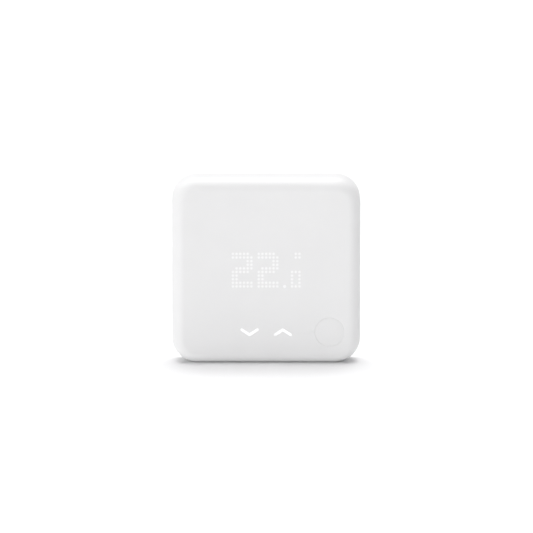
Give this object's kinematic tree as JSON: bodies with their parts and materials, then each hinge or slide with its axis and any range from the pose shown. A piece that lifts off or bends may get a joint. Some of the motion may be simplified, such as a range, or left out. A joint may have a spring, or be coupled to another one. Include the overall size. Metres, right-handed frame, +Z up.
{
  "type": "wall thermostat",
  "caption": "Square white battery-powered wall thermostat with a dot display behind its front, two lit touch arrows and a flush round push button, on a pull-off wall plate.",
  "frame": {"origin": "centre of the wall plate's rear face, on the wall, midway between the two wall screws", "axes": "+Z up, +Y into the wall, so the front faces -Y; +X to the right seen from the front"},
  "size_m": [0.104, 0.019, 0.104],
  "materials": {
    "shell_white": "white ABS, fine spark-eroded grain",
    "button_white": "white ABS, fine spark-eroded grain",
    "light_guide": "milky clear acrylic, lit from behind",
    "copper": "gold-flashed copper foil",
    "switch_black": "moulded nylon",
    "switch_ivory": "polished acetal",
    "light_chip": "epoxy lens over white phosphor",
    "baffle_white": "opaque white polycarbonate",
    "diffuser_film": "satin film",
    "circuit_board": "green solder mask on glass epoxy",
    "chip_black": "moulded epoxy",
    "tin_plate": "drawn tin plate",
    "relay_black": "glass-filled polyester",
    "ceramic_tan": "fired ceramic with tinned ends",
    "capacitor_can": "drawn can",
    "terminal_grey": "moulded nylon",
    "tinned_copper": "tin plating",
    "chassis_white": "white ABS, as moulded",
    "battery_sleeve": "plain printed sleeve over a steel can",
    "spring_steel": "nickel plating",
    "screw_steel": "zinc plating",
    "plate_white": "white ABS, as moulded",
    "foam_tape": "closed-cell foam with a paper liner"
  },
  "bodies": {
    "wall_mount": {"wall_plate": "plate_white", "adhesive_pads": "foam_tape"},
    "unit": {"front_housing": "shell_white", "chevron_guide_down": "light_guide", "chevron_guide_up": "light_guide", "touch_pad_down": "copper", "touch_pad_up": "copper", "key_switch_case": "switch_black", "led_matrix": "light_chip", "touch_leds": "light_chip", "light_baffle": "baffle_white", "diffuser_film": "diffuser_film", "main_board": "circuit_board", "radio_board": "circuit_board", "microcontroller": "chip_black", "led_driver_chips": "chip_black", "air_sensor": "chip_black", "quartz_crystal": "tin_plate", "radio_shield": "tin_plate", "power_relay": "relay_black", "ceramic_capacitors": "ceramic_tan", "chip_resistors": "chip_black", "smoothing_capacitors": "capacitor_can", "terminal_block": "terminal_grey", "terminal_contacts": "tinned_copper", "rear_chassis": "chassis_white", "battery_top": "battery_sleeve", "battery_middle": "battery_sleeve", "battery_bottom": "battery_sleeve", "battery_contact_positive": "spring_steel", "battery_contact_negative": "spring_steel", "battery_link_right": "spring_steel", "battery_link_left": "spring_steel", "battery_spring_top": "spring_steel", "battery_spring_middle": "spring_steel", "battery_spring_bottom": "spring_steel", "chassis_screws": "screw_steel", "board_screws": "screw_steel"},
    "main_button": {"button_cap": "button_white"},
    "switch_plunger": {"key_switch_plunger": "switch_ivory"},
    "terminal_screw_1": {"terminal_screw_1": "screw_steel"},
    "terminal_cage_1": {"terminal_cage_1": "screw_steel"},
    "terminal_screw_2": {"terminal_screw_2": "screw_steel"},
    "terminal_cage_2": {"terminal_cage_2": "screw_steel"},
    "terminal_screw_3": {"terminal_screw_3": "screw_steel"},
    "terminal_cage_3": {"terminal_cage_3": "screw_steel"},
    "terminal_screw_4": {"terminal_screw_4": "screw_steel"},
    "terminal_cage_4": {"terminal_cage_4": "screw_steel"}
  },
  "joints": [
    {"name": "unit_pull", "type": "slide", "parent": "wall_mount", "child": "unit", "axis": [0, -1, 0], "range_m": [0, 0.04]},
    {"name": "button_press", "type": "slide", "parent": "unit", "child": "main_button", "axis": [0, 1, 0], "range_m": [0, 0.0003], "stiffness_N_per_m": 4000, "springref_m": -0.0002},
    {"name": "plunger_press", "type": "slide", "parent": "unit", "child": "switch_plunger", "axis": [0, 1, 0], "range_m": [0, 0.0003]},
    {"name": "clamp_screw_turn_1", "type": "hinge", "parent": "unit", "child": "terminal_screw_1", "pos_m": [-0.00762, -0.006, -0.0135], "axis": [0, -1, 0], "range_deg": [0, 1152]},
    {"name": "clamp_cage_rise_1", "type": "slide", "parent": "unit", "child": "terminal_cage_1", "axis": [0, 1, 0], "range_m": [0, 0.0016]},
    {"name": "clamp_screw_turn_2", "type": "hinge", "parent": "unit", "child": "terminal_screw_2", "pos_m": [-0.00254, -0.006, -0.0135], "axis": [0, -1, 0], "range_deg": [0, 1152]},
    {"name": "clamp_cage_rise_2", "type": "slide", "parent": "unit", "child": "terminal_cage_2", "axis": [0, 1, 0], "range_m": [0, 0.0016]},
    {"name": "clamp_screw_turn_3", "type": "hinge", "parent": "unit", "child": "terminal_screw_3", "pos_m": [0.00254, -0.006, -0.0135], "axis": [0, -1, 0], "range_deg": [0, 1152]},
    {"name": "clamp_cage_rise_3", "type": "slide", "parent": "unit", "child": "terminal_cage_3", "axis": [0, 1, 0], "range_m": [0, 0.0016]},
    {"name": "clamp_screw_turn_4", "type": "hinge", "parent": "unit", "child": "terminal_screw_4", "pos_m": [0.00762, -0.006, -0.0135], "axis": [0, -1, 0], "range_deg": [0, 1152]},
    {"name": "clamp_cage_rise_4", "type": "slide", "parent": "unit", "child": "terminal_cage_4", "axis": [0, 1, 0], "range_m": [0, 0.0016]}
  ],
  "couplings": [
    {"joint": "plunger_press", "follows": "button_press", "ratio": 1},
    {"joint": "clamp_screw_turn_1", "follows": "clamp_cage_rise_1", "rad_per_m": 12566},
    {"joint": "clamp_screw_turn_2", "follows": "clamp_cage_rise_2", "rad_per_m": 12566},
    {"joint": "clamp_screw_turn_3", "follows": "clamp_cage_rise_3", "rad_per_m": 12566},
    {"joint": "clamp_screw_turn_4", "follows": "clamp_cage_rise_4", "rad_per_m": 12566}
  ]
}
